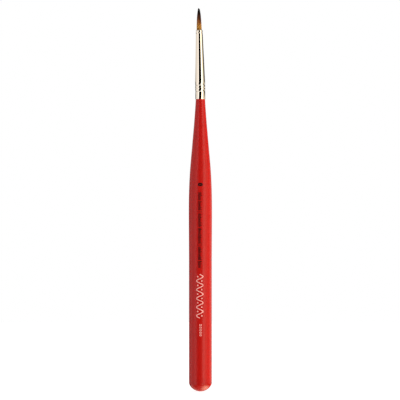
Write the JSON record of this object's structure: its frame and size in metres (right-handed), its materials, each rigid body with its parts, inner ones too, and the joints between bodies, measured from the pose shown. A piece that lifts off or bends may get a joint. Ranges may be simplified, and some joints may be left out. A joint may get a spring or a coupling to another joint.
{
  "type": "round detail paint brush",
  "caption": "Small round artist's brush with a swelled lacquered wooden handle, a tapered metal ferrule and a short pointed tuft.",
  "frame": {"origin": "lowest point of the butt, on the handle's axis", "axes": "+Z along the handle towards the tuft, +X to the right and +Y away when the printed side of the handle faces the viewer"},
  "size_m": [0.009, 0.009, 0.15],
  "materials": {
    "handle_wood": "turned birch, bare",
    "handle_lacquer": "dipped red lacquer, semi-gloss",
    "ferrule_metal": "nickel-plated brass, polished",
    "tenon_glue": "clear adhesive, cured",
    "root_thread": "twisted polyester thread",
    "filament": "tapered polyester filament, golden brown with dark tips",
    "root_cement": "amber epoxy cement"
  },
  "bodies": {
    "handle": {"handle_core": "handle_wood", "handle_lacquer": "handle_lacquer", "ferrule": "ferrule_metal", "tenon_glue": "tenon_glue", "root_thread": "root_thread", "hair_root": "filament", "root_cement": "root_cement"},
    "tuft": {"tuft": "filament"}
  },
  "joints": [
    {"name": "tuft_flex", "type": "hinge", "parent": "handle", "child": "tuft", "pos_m": [-0.00047, 0, 0.1413], "axis": [0, 1, 0], "range_deg": [-35, 35], "stiffness_Nm_per_rad": 0.0004}
  ]
}
